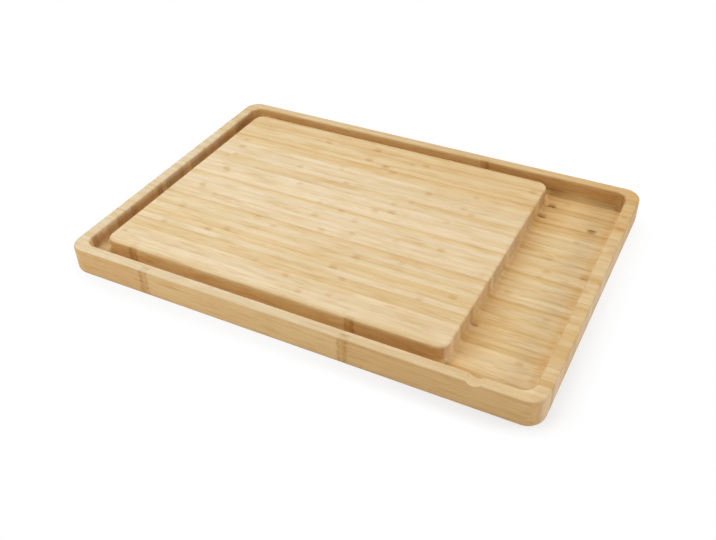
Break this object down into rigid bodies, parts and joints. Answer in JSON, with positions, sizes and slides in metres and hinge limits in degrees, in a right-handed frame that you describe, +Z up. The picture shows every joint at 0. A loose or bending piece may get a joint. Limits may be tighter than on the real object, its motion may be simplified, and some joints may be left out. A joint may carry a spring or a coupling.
{
  "type": "carving board",
  "caption": "Bamboo carving board of edge-glued strips with a raised block, a juice channel round it, a wide serving well on the right and a pour notch in the front rim.",
  "frame": {"origin": "middle of the underside, on the surface that the board rests on", "axes": "+X along the strips towards the serving well, +Y from the front edge with the pour notch to the back edge, +Z up"},
  "size_m": [0.508, 0.3556, 0.032],
  "materials": {
    "bamboo": "sanded and oiled, satin"
  },
  "bodies": {
    "root": {"front_edge_strip": "bamboo", "bamboo_strip_02": "bamboo", "bamboo_strip_03": "bamboo", "bamboo_strip_04": "bamboo", "bamboo_strip_05": "bamboo", "bamboo_strip_06": "bamboo", "bamboo_strip_07": "bamboo", "bamboo_strip_08": "bamboo", "bamboo_strip_09": "bamboo", "bamboo_strip_10": "bamboo", "bamboo_strip_11": "bamboo", "bamboo_strip_12": "bamboo", "bamboo_strip_13": "bamboo", "bamboo_strip_14": "bamboo", "bamboo_strip_15": "bamboo", "bamboo_strip_16": "bamboo", "bamboo_strip_17": "bamboo", "bamboo_strip_18": "bamboo", "bamboo_strip_19": "bamboo", "bamboo_strip_20": "bamboo", "bamboo_strip_21": "bamboo", "bamboo_strip_22": "bamboo", "bamboo_strip_23": "bamboo", "bamboo_strip_24": "bamboo", "bamboo_strip_25": "bamboo", "bamboo_strip_26": "bamboo", "bamboo_strip_27": "bamboo", "bamboo_strip_28": "bamboo", "bamboo_strip_29": "bamboo", "bamboo_strip_30": "bamboo", "bamboo_strip_31": "bamboo", "bamboo_strip_32": "bamboo", "bamboo_strip_33": "bamboo", "bamboo_strip_34": "bamboo", "bamboo_strip_35": "bamboo", "bamboo_strip_36": "bamboo", "bamboo_strip_37": "bamboo", "bamboo_strip_38": "bamboo", "bamboo_strip_39": "bamboo", "bamboo_strip_40": "bamboo", "bamboo_strip_41": "bamboo", "bamboo_strip_42": "bamboo", "bamboo_strip_43": "bamboo", "bamboo_strip_44": "bamboo", "back_edge_strip": "bamboo"}
  },
  "joints": []
}
